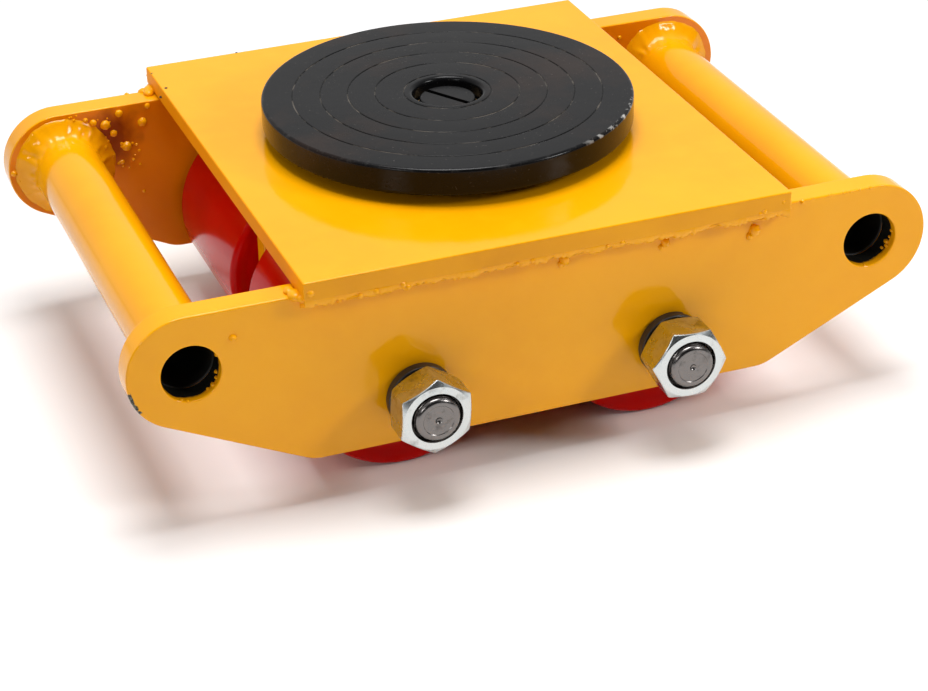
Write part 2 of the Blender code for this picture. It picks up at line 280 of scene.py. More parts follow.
def add_blobs(name, blobs, seed, material):
    """Drops of metal or paint on the chassis: lumpy balls, each given by its centre and its three radii."""
    builder = bmesh.new()
    for number, (centre, radii) in enumerate(blobs):
        made = bmesh.ops.create_icosphere(builder, subdivisions=3, radius=1.0)
        for vert in made["verts"]:
            swell = 1.0 + BLOB_SWELL * wobble(vert.co, BLOB_WAVES, seed + number)
            vert.co = Vector(centre) + Vector([c * r * swell for c, r in zip(vert.co, radii)])
    mesh = mesh_from(name, builder)
    add_piece(name, mesh, Matrix.Identity(4), material, "chassis", smooth_angle=180.0,
              weighted=False)


# ---------------------------------------------------------------- materials


class Surface:
    """A Principled material with short calls for the nodes that the surfaces here share."""

    def __init__(self, name, colour, roughness, metallic=0.0):
        self.material = bpy.data.materials.new(name)
        self.material.use_nodes = True
        self.tree = self.material.node_tree
        self.shader = self.tree.nodes["Principled BSDF"]
        self.shader.inputs["Base Color"].default_value = (*colour, 1.0)
        self.shader.inputs["Roughness"].default_value = roughness
        self.shader.inputs["Metallic"].default_value = metallic
        self.place = self.node("ShaderNodeTexCoord").outputs["Object"]
        self.bump_to = self.shader.inputs["Normal"]

    def node(self, kind):
        return self.tree.nodes.new(kind)

    def link(self, source, target):
        self.tree.links.new(source, target)

    def noise(self, scale, detail=3.0, rough=0.55, stretch=None):
        texture = self.node("ShaderNodeTexNoise")
        texture.inputs["Scale"].default_value = scale
        texture.inputs["Detail"].default_value = detail
        texture.inputs["Roughness"].default_value = rough
        where = self.place
        if stretch:
            mapping = self.node("ShaderNodeMapping")
            mapping.inputs["Scale"].default_value = stretch
            self.link(where, mapping.inputs["Vector"])
            where = mapping.outputs["Vector"]
        self.link(where, texture.inputs["Vector"])
        return texture.outputs["Fac"]

    def ramp(self, source, low, high, out_low=0.0, out_high=1.0):
        fit = self.node("ShaderNodeMapRange")
        fit.inputs["From Min"].default_value = low
        fit.inputs["From Max"].default_value = high
        fit.inputs["To Min"].default_value = out_low
        fit.inputs["To Max"].default_value = out_high
        self.link(source, fit.inputs["Value"])
        return fit.outputs["Result"]

    def math(self, operation, first, second):
        maths = self.node("ShaderNodeMath")
        maths.operation = operation
        for value, socket in zip((first, second), maths.inputs):
            if isinstance(value, float):
                socket.default_value = value
            else:
                self.link(value, socket)
        return maths.outputs["Value"]

    def axes(self):
        """The X, Y and Z of the shaded point."""
        split = self.node("ShaderNodeSeparateXYZ")
        self.link(self.place, split.inputs["Vector"])
        return split.outputs

    def ragged(self, source, scale, reach, detail=3.0):
        """A distance with noise added, so that what ends there has a torn edge."""
        return self.math("ADD", source, self.math("MULTIPLY", self.noise(scale, detail), reach))

    def distance(self, spot):
        """How far the shaded point is from a line along Y; the line's X and Z are given."""
        across = self.node("ShaderNodeVectorMath")
        across.operation = "MULTIPLY"
        across.inputs[1].default_value = (1.0, 0.0, 1.0)
        self.link(self.place, across.inputs[0])
        gap = self.node("ShaderNodeVectorMath")
        gap.operation = "DISTANCE"
        gap.inputs[1].default_value = (spot[0], 0.0, spot[1])
        self.link(across.outputs["Vector"], gap.inputs[0])
        return gap.outputs["Value"]

    def mix_colour(self, factor, first, second):
        mix = self.node("ShaderNodeMix")
        mix.data_type = "RGBA"
        self.link(factor, mix.inputs["Factor"])
        for value, socket in ((first, mix.inputs[6]), (second, mix.inputs[7])):
            if isinstance(value, tuple):
                socket.default_value = (*value[:3], 1.0)
            else:
                self.link(value, socket)
        return mix.outputs[2]

    def bump(self, height, distance, strength=1.0):
        """Adds a bump; the bumps of one surface are chained, each on top of the last."""
        bump = self.node("ShaderNodeBump")
        bump.inputs["Distance"].default_value = distance
        bump.inputs["Strength"].default_value = strength
        self.link(height, bump.inputs["Height"])
        self.link(bump.outputs["Normal"], self.bump_to)
        self.bump_to = bump.inputs["Normal"]

    def set(self, name, value):
        self.shader.inputs[name].default_value = value

    def drive(self, name, source):
        self.link(source, self.shader.inputs[name])


# Paint: its tones run from deep to pale, and its gloss and dullness are the shader's own numbers.
YELLOWS = ((0.83, 0.335, 0.0008), (0.88, 0.375, 0.0012), (0.89, 0.395, 0.0030))
CUT_EDGE_YELLOWS = ((0.88, 0.31, 0.001), (0.93, 0.36, 0.001), (0.93, 0.40, 0.003))
# Deeper orange for the side plates' inner faces: painted shade.
INNER_SHADE_YELLOWS = ((0.72, 0.19, 0.001), (0.77, 0.22, 0.001), (0.80, 0.24, 0.002))
# Deeper tones for the deck's front and rear faces: painted shade.
DECK_END_SHADE_YELLOWS = ((0.68, 0.26, 0.001), (0.80, 0.33, 0.001), (0.84, 0.36, 0.003))
# Brown-red of the painted shade beside the rear left tube's weld.
TUBE_SHADE_COLOUR = (0.30, 0.055, 0.001)
BARE_STEEL = (0.16, 0.16, 0.12)
# Near black: dark specks in the chip's bare steel, and the bare wall deep in the eyes darkened as painted
# shade.
DARK_STEEL_AND_BORE_SHADE = (0.012, 0.012, 0.010)
PAINT_GLOSS = 0.28
CUT_EDGE_GLOSS = 0.06
CUT_EDGE_DULLNESS = 0.45
DECK_END_GLOSS = 0.2
ROLLING_MARKS = (1.0, 0.0, 0.08)

# The chipped spot on the left ear: centre (X, Z), reach, and how deep it runs in from the front face.
CHIP_CENTRE = (-EAR_X - 0.0186, EAR_Z - 0.0078)
CHIP_REACH = 0.0056
CHIP_INSET = 0.0002
CHIP_DEPTH = 0.0042
# Painted shade beside the rear left tube's weld, a darker brown-red: centre (X, Z) and reach.
TUBE_SHADE_CENTRE = (-EYE_X + 0.0170, EYE_Z + 0.0080)
TUBE_SHADE_REACH = 0.0118
# Depths at which the paint in an eye starts to thin out and is gone.
BORE_BARE = 0.0014
BORE_PAINTED = 0.0006


def paint_surface(name, tones=YELLOWS, gloss=PAINT_GLOSS, dull=0.0, streaks=None, chip=False, bore=False,
                  shade_by_tube=False):
    """Glossy amber enamel with a soft orange peel, faint flow marks and slight changes of tone."""
    deep, base, pale = tones
    paint = Surface(name, base, 0.16)
    tone = paint.ramp(paint.noise(14.0, 4.0), 0.30, 0.62)
    colour = paint.mix_colour(tone, deep, base)
    mottle = paint.ramp(paint.noise(110.0, 5.0), 0.45, 0.75, 0.0, 0.35)
    colour = paint.mix_colour(mottle, colour, pale)
    # A darker brown-red patch beside the rear left tube's weld: painted shade.
    if shade_by_tube:
        edge = paint.ragged(paint.distance(TUBE_SHADE_CENTRE), 150.0, 0.012, 5.0)
        tube_shade_share = paint.ramp(edge, TUBE_SHADE_REACH, TUBE_SHADE_REACH * 1.7, 1.0, 0.0)
        colour = paint.mix_colour(tube_shade_share, colour, TUBE_SHADE_COLOUR)
    if chip:
        colour = add_chip(paint, colour)
    if bore:
        colour = add_bare_depth_and_shade(paint, colour)
    paint.drive("Base Color", colour)
    paint.drive("Roughness", paint.ramp(paint.noise(55.0, 4.0), 0.3, 0.7, 0.07 + dull, 0.15 + dull))
    paint.set("Specular IOR Level", gloss)
    if streaks:
        paint.bump(paint.noise(90.0, 3.0, stretch=streaks), 0.00030, 0.5)
    paint.bump(paint.noise(26.0, 2.0), 0.0012, 0.16)
    paint.bump(paint.noise(380.0, 2.0), 0.00005, 0.35)
    return paint.material


def add_chip(paint, colour):
    """Paint knocked off the left ear's round edge: speckled steel shows in a thin crescent."""
    near = paint.ragged(paint.distance(CHIP_CENTRE), 700.0, 0.003)
    near = paint.ramp(near, CHIP_REACH, CHIP_REACH * 1.1, 1.0, 0.0)
    rim = EAR_RADIUS - CHIP_INSET
    out = paint.ramp(paint.ragged(paint.distance((-EAR_X, EAR_Z)), 900.0, 0.0018), rim, rim + CHIP_INSET)
    forward = paint.math("MULTIPLY", paint.axes()["Y"], -1.0)
    front = paint.ramp(forward, SIDE_OUTER_Y - CHIP_DEPTH, SIDE_OUTER_Y - CHIP_DEPTH + 0.0006)
    bare = paint.math("MULTIPLY", paint.math("MULTIPLY", near, out), front)
    steel = paint.mix_colour(paint.ramp(paint.noise(1600.0), 0.45, 0.55), DARK_STEEL_AND_BORE_SHADE, BARE_STEEL)
    paint.bump(paint.math("MULTIPLY", bare, -1.0), 0.0002)
    return paint.mix_colour(bare, colour, steel)


def add_bare_depth_and_shade(paint, colour):
    """Inside a drilled hole the paint reaches only a little way in from each face; beyond it the bare wall is
    near black, bare steel darkened as painted shade.
    """
    depth = paint.ragged(paint.math("ABSOLUTE", paint.axes()["Y"], 0.0), 160.0, 0.0040)
    bare = paint.ramp(depth, SIDE_OUTER_Y - BORE_BARE, SIDE_OUTER_Y - BORE_PAINTED, 1.0, 0.0)
    return paint.mix_colour(bare, colour, DARK_STEEL_AND_BORE_SHADE)


def red_surface():
    """Moulded red roller: smooth, uneven in tone and a little scuffed round the tread."""
    red = Surface("red_roller", (0.60, 0.004, 0.003), 0.2)
    tone = red.ramp(red.noise(30.0, 4.0), 0.35, 0.7)
    colour = red.mix_colour(tone, (0.50, 0.002, 0.001), (0.62, 0.003, 0.001))
    scuffs = red.ramp(red.noise(160.0, 6.0, 0.6, (1.0, 0.12, 1.0)), 0.62, 0.74, 0.0, 0.6)
    red.drive("Base Color", red.mix_colour(scuffs, colour, (0.46, 0.012, 0.010)))
    red.drive("Roughness", red.ramp(red.noise(70.0, 4.0), 0.3, 0.7, 0.10, 0.20))
    red.set("Specular IOR Level", 0.10)
    red.bump(red.noise(240.0, 3.0), 0.00004, 0.4)
    return red.material


# The way, in X and Y, towards the right soft box: the part of the cap's rim that gets the most painted
# highlight.
RIM_HIGHLIGHT_SIDE = (0.72, -0.69)


def cap_surface(name, grooves=False):
    """Black enamel on a turned disc: rings, brown blotches, specks and pale flecks on the rim as a painted
    highlight, strongest towards the right soft box; grooves hold dust.
    """
    black = Surface(name, (0.005, 0.005, 0.005), 0.2)
    blotch = black.ramp(black.noise(26.0, 5.0, 0.6), 0.50, 0.66)
    colour = black.mix_colour(blotch, (0.004, 0.004, 0.0045), (0.014, 0.008, 0.006))
    specks = black.ramp(black.noise(900.0, 2.0), 0.68, 0.74, 0.0, 0.35)
    colour = black.mix_colour(specks, colour, (0.09, 0.08, 0.07))
    if grooves:
        dust = black.ramp(black.noise(70.0, 4.0, 0.6), 0.50, 0.62)
        colour = black.mix_colour(dust, (0.003, 0.003, 0.003), (0.11, 0.095, 0.080))
    axes = black.axes()
    across = black.math("MULTIPLY", axes["X"], axes["X"])
    along = black.math("MULTIPLY", axes["Y"], axes["Y"])
    radius = black.math("POWER", black.math("ADD", across, along), 0.5)
    rim = black.ramp(radius, CAP_RADIUS - 0.0013, CAP_RADIUS - 0.0009)
    upper = black.ramp(axes["Z"], CAP_TOP_Z - 0.0014, CAP_TOP_Z - 0.0008)
    # Pale flecks on the upper rim: painted highlight, strongest on the side towards the right soft box.
    flecks = black.ramp(black.noise(300.0, 4.0), 0.54, 0.66)
    rim_highlight = black.math("MULTIPLY", black.math("MULTIPLY", rim, upper), flecks)
    towards = black.math("ADD", black.math("MULTIPLY", axes["X"], RIM_HIGHLIGHT_SIDE[0]),
                         black.math("MULTIPLY", axes["Y"], RIM_HIGHLIGHT_SIDE[1]))
    rim_highlight = black.math("MULTIPLY", rim_highlight, black.ramp(towards, CAP_RADIUS * 0.90, CAP_RADIUS, 0.03, 0.9))
    colour = black.mix_colour(rim_highlight, colour, (0.50, 0.49, 0.47))
    black.drive("Base Color", colour)
    black.drive("Roughness", black.ramp(black.noise(34.0, 5.0, 0.65), 0.3, 0.7, 0.12, 0.30))
    rings = black.node("ShaderNodeTexNoise")
    rings.noise_dimensions = "1D"
    rings.inputs["Scale"].default_value = 1500.0
    rings.inputs["Detail"].default_value = 2.0
    black.link(radius, rings.inputs["W"])
    black.bump(rings.outputs["Fac"], 0.00003, 0.3)
    black.bump(black.noise(300.0, 3.0, 0.6, (0.25, 1.0, 1.0)), 0.00006, 0.3)
    black.bump(black.noise(40.0, 3.0), 0.0007, 0.16)
    black.set("Specular IOR Level", 0.15)
    return black.material


def metal_surface(name, colour, dark, roughness):
    """Plated or machined metal: a fine grain, small dull spots and uneven gloss."""
    metal = Surface(name, colour, roughness, 1.0)
    spots = metal.ramp(metal.noise(200.0, 5.0, 0.65), 0.54, 0.72)
    metal.drive("Base Color", metal.mix_colour(spots, colour, dark))
    gloss = metal.ramp(metal.noise(120.0, 4.0), 0.3, 0.7, roughness * 0.75, roughness * 1.35)
    metal.drive("Roughness", gloss)
    metal.bump(metal.noise(800.0, 3.0), 0.00003, 0.5)
    metal.bump(metal.noise(140.0, 2.0), 0.0002, 0.2)
    return metal.material


def dark_surface(name, colour, roughness):
    """Unpainted scale inside the tubes, and oiled black fasteners."""
    dark = Surface(name, colour, roughness)
    tone = dark.ramp(dark.noise(180.0, 5.0), 0.35, 0.75)
    dark.drive("Base Color", dark.mix_colour(tone, colour, tuple(2.2 * c for c in colour)))
    dark.bump(dark.noise(350.0, 4.0), 0.0001, 0.6)
    return dark.material


# ---------------------------------------------------------------- chassis


def side_outline():
    """Side plate outline in X and Z: a straight top, two round ears and slopes down to the flat bottom."""
    corner = (SIDE_FLAT_X - EAR_X, SIDE_BOTTOM_Z - EAR_Z)
    distance = math.hypot(*corner)
    tangent = math.atan2(corner[1], corner[0]) + math.acos(EAR_RADIUS / distance)
    slope = math.pi / 2.0 + tangent
    setback = SIDE_CORNER * math.tan(slope / 2.0)
    right = arc((EAR_X, EAR_Z), EAR_RADIUS, 90.0, math.degrees(tangent), 44)
    corner_centre = (SIDE_FLAT_X - setback, SIDE_BOTTOM_Z + SIDE_CORNER)
    right += arc(corner_centre, SIDE_CORNER, math.degrees(slope) - 90.0, -90.0, 6)
    return right + [(-x, z) for x, z in reversed(right)]


def make_side_plates():
    """The two side plates; their inner faces take deeper orange as painted shade, and inside the eyes the
    paint thins out to bare steel darkened as painted shade.
    """
    paints = {"front": paint_surface("yellow_front_plate", chip=True),
              "rear": paint_surface("yellow_rear_plate")}
    bored = paint_surface("yellow_bore", bore=True)
    inside = paint_surface("yellow_inner_faces_painted_shade", INNER_SHADE_YELLOWS, shade_by_tube=True)
    for end, sign in ENDS.items():
        loops = [side_outline()]
        for along in SIDES.values():
            loops.append(circle((along * EYE_X, EYE_Z), EYE_RADIUS, 64))
            loops.append(circle((along * AXLE_X, AXLE_Z), AXLE_HOLE_RADIUS, 48))
        mesh = plate_mesh(f"side_plate_{end}_painted", loops, SIDE_THICKNESS, SIDE_EDGE)
        mesh.materials.append(paints[end])
        mesh.materials.append(bored)
        mesh.materials.append(inside)
        for face in mesh.polygons:
            # Inner faces take the deeper orange: painted shade.
            if face.normal.z * sign > 0.9:
                face.material_index = 2
            # The eyes' walls take the bore paint, which turns near black deeper in: painted shade.
            if math.hypot(abs(face.center.x) - EYE_X, face.center.y - EYE_Z) < EYE_RADIUS + 0.0001:
                face.material_index = 1
        middle = sign * (SIDE_OUTER_Y + SIDE_INNER_Y) / 2.0
        add_piece(f"side_plate_{end}_painted", mesh, place(0.0, middle, 0.0, UPRIGHT), paints[end], "chassis",
                  [f"side_plate_{end}"])


def make_top_plate():
    """The deck: a flat plate whose edges are only just broken; its left and right faces are flame cut, and
    its front and rear faces take deeper tones as painted shade.
    """
    low, high = TOP_LOW.z, TOP_HIGH.z
    under, over = TOP_LOWER_EDGE, TOP_UPPER_EDGE
    outline = arc((TOP_HIGH.x - under, low + under), under, -90.0, 0.0, 5)
    outline += arc((TOP_HIGH.x - over, high - over), over, 0.0, 90.0, 5)
    outline += arc((TOP_LOW.x + over, high - over), over, 90.0, 180.0, 5)
    outline += arc((TOP_LOW.x + under, low + under), under, 180.0, 270.0, 5)
    mesh = plate_mesh("top_plate_painted", [outline], TOP_HIGH.y - TOP_LOW.y, TOP_END_EDGE)
    paint = paint_surface("yellow_deck", streaks=ROLLING_MARKS)
    cut_edge = paint_surface("yellow_cut_edge", CUT_EDGE_YELLOWS, CUT_EDGE_GLOSS, CUT_EDGE_DULLNESS)
    ends = paint_surface("yellow_deck_ends_painted_shade", DECK_END_SHADE_YELLOWS, DECK_END_GLOSS, streaks=ROLLING_MARKS)
    for material in (paint, cut_edge, ends):
        mesh.materials.append(material)
    side = 0.0002
    # The deck's front and rear faces take the deeper tones: painted shade.
    for face in mesh.polygons:
        if not TOP_LOW.x + side < face.center.x < TOP_HIGH.x - side:
            face.material_index = 1
        elif abs(face.normal.z) > 0.9:
            face.material_index = 2
    add_piece("top_plate_painted", mesh, place(0.0, 0.0, 0.0, UPRIGHT), paint, "chassis",
              ["top_plate"])


def make_centre_plate(paint):
    x, low, high = CENTRE_HIGH.x, CENTRE_LOW.z, CENTRE_HIGH.z
    notch = [(CENTRE_NOTCH_X, high), (CENTRE_NOTCH_X, CENTRE_NOTCH_Z)]
    outline = [(-x, low), (x, low), (x, high)] + notch
    outline += [(-px, pz) for px, pz in reversed(notch)] + [(-x, high)]
    holes = [circle((along * AXLE_X, AXLE_Z), AXLE_HOLE_RADIUS, 40) for along in SIDES.values()]
    mesh = plate_mesh("centre_plate_painted", [outline] + holes, CENTRE_HIGH.y - CENTRE_LOW.y, CENTRE_EDGE)
    add_piece("centre_plate_painted", mesh, place(0.0, 0.0, 0.0, UPRIGHT), paint, "chassis",
              ["centre_plate"])


def make_cross_tubes(paint, scale_dark):
    """Tubes painted outside and bare inside."""
    half = SIDE_INNER_Y - GAP
    edge = TUBE_EDGE
    profile = [(EYE_RADIUS, edge - half), (EYE_RADIUS + edge, -half), (TUBE_RADIUS, -half)]
    profile += [(r, -y) for r, y in reversed(profile)]
    for side, along in SIDES.items():
        mesh = turned(f"cross_tube_{side}_painted", profile, 72)
        mesh.materials.append(paint)
        mesh.materials.append(scale_dark)
        for face in mesh.polygons:
            if math.hypot(face.center.x, face.center.y) < EYE_RADIUS + edge:
                face.material_index = 1
        matrix = place(along * EYE_X, 0.0, EYE_Z, ALONG_Y)
        add_piece(f"cross_tube_{side}_painted", mesh, matrix, paint, "chassis",
                  [f"cross_tube_{side}"], weighted=False)


# ---------------------------------------------------------------- weld metal


# The flare where a tube meets a plate: how far it spreads, how long and how hollow it is, its lumps.
FLARE_SPREAD = 0.0064
FLARE_LENGTH = 0.0080
FLARE_HOLLOW = 3.2
FLARE_SUNK = 0.0010
FLARE_STEPS = 16
FLARE_SLOW_LUMPS = 0.0010
FLARE_QUICK_LUMPS = 0.0005
FLARE_LEAST = 0.00002


def make_tube_welds(paint):
    """The thick fillet where each tube meets each plate: a hollow flare with lumps and ripples."""
    outer = []
    for step in range(FLARE_STEPS + 1):
        t = step / FLARE_STEPS
        outer.append((TUBE_RADIUS + FLARE_SPREAD * (1.0 - t) ** FLARE_HOLLOW, FLARE_LENGTH * t))
    buried = -FLARE_SUNK / 2.0
    profile = [(TUBE_RADIUS - FLARE_SUNK, buried), (TUBE_RADIUS + FLARE_SPREAD, buried)] + outer
    profile.append((TUBE_RADIUS - FLARE_SUNK, FLARE_LENGTH))
    seed = 3
    for side, along in SIDES.items():
        for end, sign in ENDS.items():
            seed += 5

            def shaped(point, angle, seed=seed):
                radius, height = point
                if radius < TUBE_RADIUS - FLARE_SUNK / 2.0:
                    return point
                spot = (math.cos(angle) * 0.02, math.sin(angle) * 0.02, height)
                slow = wobble(spot, 55.0, seed)
                quick = wobble(spot, 300.0, seed)
                share = min(1.0, (radius - TUBE_RADIUS) / FLARE_SPREAD)
                radius += math.sqrt(share) * (FLARE_SLOW_LUMPS * slow + FLARE_QUICK_LUMPS * quick)
                return max(radius, TUBE_RADIUS + FLARE_LEAST), height * (1.0 + 0.25 * slow + 0.2 * quick)

            mesh = turned(f"tube_weld_{side}_{end}", profile, 144, shaped)
            matrix = place(along * EYE_X, sign * SIDE_INNER_Y, EYE_Z, ALONG_Y if sign < 0 else UPRIGHT)
            add_piece(f"tube_weld_{side}_{end}", mesh, matrix, paint, "chassis",
                      smooth_angle=70.0, weighted=False)


# Drops of metal on the front of the welds: X, Z, radius and how much taller than wide each one is.
FRONT_DROPS = (
    (0.0060, 0.0767, 0.0009, 1.2), (0.0069, 0.0747, 0.0012, 1.5), (0.0056, 0.0729, 0.0007, 1.4),
    (0.0464, 0.0771, 0.0009, 1.0), (0.0437, 0.0735, 0.0010, 1.2), (0.0421, 0.0719, 0.0006, 1.3),
    (0.0770, 0.0716, 0.0013, 1.2), (0.0753, 0.0696, 0.0008, 1.2), (0.0800, 0.0762, 0.0009, 1.1),
    (0.0826, 0.0779, 0.0009, 1.0), (0.0888, 0.0785, 0.0013, 1.1), (-0.0720, 0.0755, 0.0008, 1.0),
    (-0.0445, 0.0768, 0.0007, 1.0), (0.0950, 0.0790, 0.0006, 1.0), (-0.1080, 0.0691, 0.0009, 0.8),
)
# Drops on the deck's own front face: X, Z and radius.
DECK_DROPS = (
    (0.0778, 0.0808, 0.0008), (0.0761, 0.0805, 0.0006), (0.0849, 0.0832, 0.0006),
    (-0.0831, 0.0826, 0.0011), (-0.0518, 0.0795, 0.0009), (-0.0502, 0.0783, 0.0008),
    (-0.0611, 0.0789, 0.0009), (-0.0665, 0.0783, 0.0008), (0.0255, 0.0794, 0.0008),
    (0.0200, 0.0790, 0.0006), (-0.0068, 0.0792, 0.0006), (-0.0121, 0.0790, 0.0006),
)


# The bead under each overhang: how far it runs up the deck's end, the heights of its lip and toe below
# the deck, how far it stands in from the deck's end, its shelf and root, and its slow, quick and fine waves.
BEAD_SMEAR = 0.0007
BEAD_LIP = 0.0019
BEAD_TOE = 0.0046
BEAD_INSET = 0.0002
BEAD_SHELF = 0.0019
BEAD_STEP = 0.0008
BEAD_ROOT = 0.0010
BEAD_TOP = 0.0004
BEAD_WAVES = (55.0, 240.0, 800.0)
BEAD_FACE_WAVES = (0.0002, 0.00035, 0.0002)
BEAD_LIP_WAVES = (0.0008, 0.0013, 0.0008)
BEAD_TOE_WAVES = (-0.0008, 0.0004, 0.0)
BEAD_COUNT = 620


def bead_section(x, seed):
    """Section of the bead under the deck's overhang, in Y (outwards) and Z: flush in front, ragged below."""
    deck = TOP_LOW.z
    waves = [wobble((x, 0.0, 0.0), scale, seed + number) for number, scale in enumerate(BEAD_WAVES)]
    fine = waves[2]

    def wavy(sizes):
        return sum(size * wave for size, wave in zip(sizes, waves))

    outer = TOP_HIGH.y - BEAD_INSET + wavy(BEAD_FACE_WAVES)
    lip = BEAD_LIP + wavy(BEAD_LIP_WAVES)
    toe = deck - BEAD_TOE + wavy(BEAD_TOE_WAVES)
    face = [(TOP_HIGH.y - 0.0004, deck + BEAD_SMEAR + 0.0003 * fine), (outer, deck - 0.0002),
            (outer + 0.0001, deck - lip * 0.6), (outer - 0.0002, deck - lip),
            (outer - 0.0009, deck - lip - 0.0005), (outer - BEAD_SHELF, deck - lip - BEAD_STEP)]
    steps = 5
    for step in range(1, steps + 1):
        t = step / steps
        y = outer - BEAD_SHELF + (SIDE_OUTER_Y - 0.0001 - outer + BEAD_SHELF) * t
        z = deck - lip - BEAD_STEP + (toe - deck + lip + BEAD_STEP) * t ** 1.6
        face.append((y + 0.0003 * math.sin(math.pi * t) * fine, z))
    root = SIDE_OUTER_Y - BEAD_ROOT
    return face + [(root, toe), (root, deck + BEAD_TOP), (outer - 0.0016, deck + BEAD_TOP)]


def make_deck_beads(paint):
    """The beads under the overhangs, and drops of metal; the rear drops are the front ones turned round."""
    margin = 0.0004
    left = TOP_LOW.x + margin
    width = TOP_HIGH.x - margin - left
    for (end, sign), seed in zip(ENDS.items(), (11, 23)):
        sections = []
        for step in range(BEAD_COUNT + 1):
            x = left + width * step / BEAD_COUNT
            sections.append([(x, sign * y, z) for y, z in bead_section(x, seed)])
        mesh = swept(f"deck_bead_{end}", sections)
        add_piece(f"deck_bead_{end}", mesh, Matrix.Identity(4), paint, "chassis",
                  smooth_angle=50.0, weighted=False)
        turn = 1.0 if end == "front" else -1.0
        blobs = [((turn * x, sign * SIDE_OUTER_Y, z), (r * 1.5, r * 1.7, r * 1.5 * tall))
                 for x, z, r, tall in FRONT_DROPS]
        blobs += [((turn * x, sign * (TOP_HIGH.y - 0.0002), z), (r * 1.2, r, r * 1.2))
                  for x, z, r in DECK_DROPS]
        add_blobs(f"deck_drops_{end}", blobs, seed, paint)


# Spatter on the rear plate's inner face, round the left tube: X, Z and radius.
REAR_INNER_SPATTER = (
    (-0.1136, 0.0758, 0.0010), (-0.1108, 0.0743, 0.0014), (-0.1063, 0.0727, 0.0019),
    (-0.1008, 0.0764, 0.0015), (-0.1034, 0.0688, 0.0014), (-0.1074, 0.0639, 0.0016),
    (-0.0989, 0.0627, 0.0019), (-0.0922, 0.0715, 0.0018), (-0.0898, 0.0776, 0.0011),
    (-0.1421, 0.0593, 0.0012), (-0.1401, 0.0561, 0.0008), (-0.0936, 0.0431, 0.0007),
    (-0.1010, 0.0566, 0.0010), (-0.1043, 0.0600, 0.0008),
)
# Places in X of the specks along the front right ear's upper edge.
EAR_TOP_SPATTER = (0.0945, 0.0990, 0.1057, 0.1112, 0.1136, 0.1170, 0.1192, 0.1215, 0.1240)


def make_spatter(paint):
    """Spatter by the rear left tube, along the front right ear's edge and on both plates' inner faces."""
    rng = random.Random(5)
    inner = [((x, SIDE_INNER_Y, z), (r, r * 0.8, r)) for x, z, r in REAR_INNER_SPATTER]
    for _ in range(34):
        angle = rng.uniform(-0.3, 1.5)
        reach = rng.uniform(0.0165, 0.029)
        spot = (-EYE_X + reach * math.cos(angle), SIDE_INNER_Y, EYE_Z + reach * math.sin(angle) * 0.7)
        radius = rng.uniform(0.0003, 0.0007)
        inner.append((spot, (radius, radius * 0.7, radius)))
    outer = []
    for x in EAR_TOP_SPATTER:
        radius = rng.uniform(0.0004, 0.0008)
        spot = (x, -SIDE_OUTER_Y + 0.0004, SIDE_TOP_Z - 0.0004)
        outer.append((spot, (radius * 1.4, radius, radius)))
    near = []
    for sign, count in ((-1.0, 22), (1.0, 16)):
        for _ in range(count):
            x = EYE_X - rng.uniform(0.014, 0.030)
            radius = rng.uniform(0.0004, 0.0012)
            side = 1.0 if sign > 0.0 else rng.choice((-1.0, 1.0))
            spot = (side * x, sign * SIDE_INNER_Y, rng.uniform(0.045, 0.075))
            near.append((spot, (radius, radius * 0.8, radius)))
    add_blobs("spatter_rear_left", inner, 40, paint)
    add_blobs("spatter_ear_edge", outer, 60, paint)
    add_blobs("spatter_inner_faces", near, 80, paint)


def make_slag_specks(dark):
    """Dark specks of slag at the deck's rear left corner and on its rear edge."""
    x = TOP_LOW.x
    high = TOP_HIGH.z
    specks = ((x + 0.0016, 0.0728, high, 0.0006), (x + 0.0001, 0.0745, high - 0.0040, 0.0008),
              (x + 0.0006, 0.0886, high - 0.0002, 0.0005),
              (-0.0500, TOP_HIGH.y - 0.0003, high - 0.0001, 0.0005))
    blobs = [((px, py, pz), (r, r, r * 0.35 + 0.0001)) for px, py, pz, r in specks]
    add_blobs("deck_slag_specks", blobs, 70, dark)


def make_corner_welds(paint):
    """Lumps of weld where the beads stop at the deck's corners."""
    for side, along in SIDES.items():
        for end, sign in ENDS.items():
            x = TOP_HIGH.x if along > 0.0 else TOP_LOW.x
            y = sign * (SIDE_OUTER_Y - 0.0008)
            z = TOP_LOW.z
            blobs = [((x + along * 0.0006, y, z - 0.0002), (0.0028, 0.0034, 0.0018)),
                     ((x - along * 0.0014, y + sign * 0.0032, z - 0.0002), (0.0026, 0.0020, 0.0016)),
                     ((x + along * 0.0020, y - sign * 0.0030, z + 0.0002), (0.0018, 0.0022, 0.0013))]
            add_blobs(f"corner_weld_{side}_{end}", blobs, 90 + 7 * along + 3 * sign, paint)


# Drips on the wall of each eye: angle in degrees, depth from the plate's face and radius.
EYE_DRIPS = {
    "left": ((24.0, 0.0022, 0.0006), (-28.0, 0.0030, 0.0006), (-42.0, 0.0024, 0.0008),
             (-55.0, 0.0028, 0.0006), (-100.0, 0.0008, 0.0006), (-112.0, 0.0010, 0.0005),
             (-20.0, 0.0045, 0.0007)),
    "right": ((4.0, 0.0026, 0.0006), (-12.0, 0.0034, 0.0005), (-24.0, 0.0040, 0.0009),
              (-31.0, 0.0030, 0.0007), (-40.0, 0.0044, 0.0006), (-95.0, 0.0008, 0.0005)),
}


def make_eye_drips(paint):
    """Drops of paint and weld metal on the wall of each eye."""
    for side, along in SIDES.items():
        for end, sign in ENDS.items():
            blobs = []
            for angle, depth, radius in EYE_DRIPS[side]:
                turn = math.radians(angle)
                spot = (along * EYE_X + EYE_RADIUS * math.cos(turn), sign * (SIDE_OUTER_Y - depth),
                        EYE_Z + EYE_RADIUS * math.sin(turn))
                blobs.append((spot, (radius, radius * 1.4, radius)))
            add_blobs(f"eye_drips_{side}_{end}", blobs, 120 + 5 * along + 2 * sign, paint)


# ---------------------------------------------------------------- axles, nuts, washers


